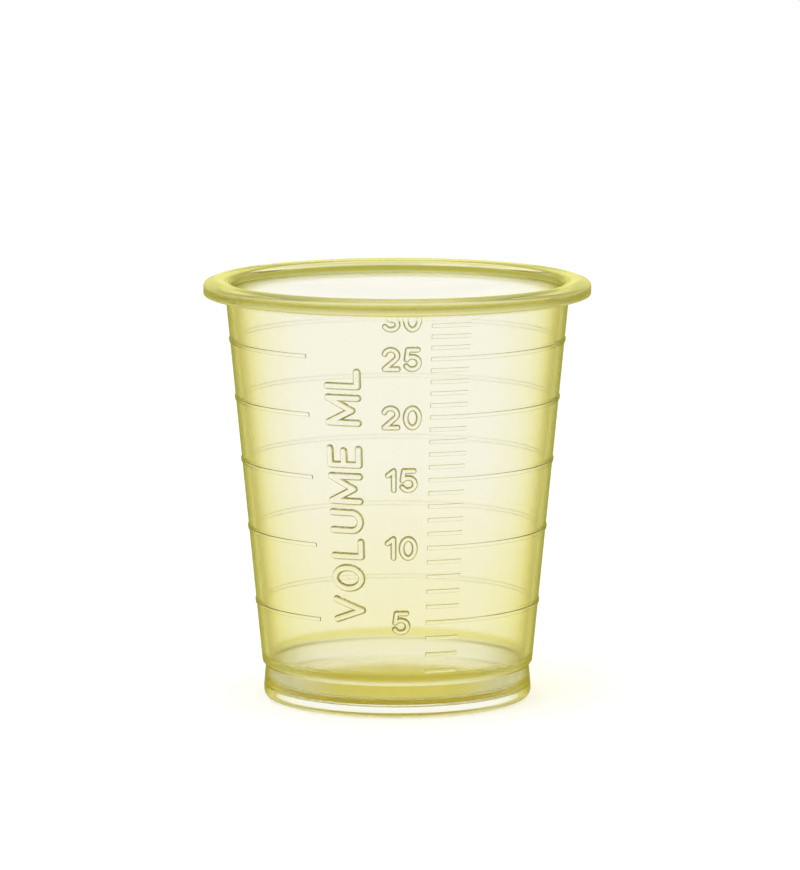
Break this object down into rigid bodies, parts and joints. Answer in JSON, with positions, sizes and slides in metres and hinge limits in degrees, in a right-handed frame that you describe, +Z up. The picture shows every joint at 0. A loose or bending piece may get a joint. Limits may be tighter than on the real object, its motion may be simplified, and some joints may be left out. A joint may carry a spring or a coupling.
{
  "type": "medicine cup",
  "caption": "Small tapered dosing cup of translucent yellow plastic with a rolled rim, stepped foot and raised graduation lines.",
  "frame": {"origin": "centre of the circle on which the foot stands, at table height", "axes": "+Z up along the axis of the cup, -Y towards the front, where the numerals stand"},
  "size_m": [0.04, 0.04, 0.0436],
  "materials": {
    "plastic": "translucent yellow, smooth moulded polypropylene"
  },
  "bodies": {
    "root": {"cup": "plastic"}
  },
  "joints": []
}
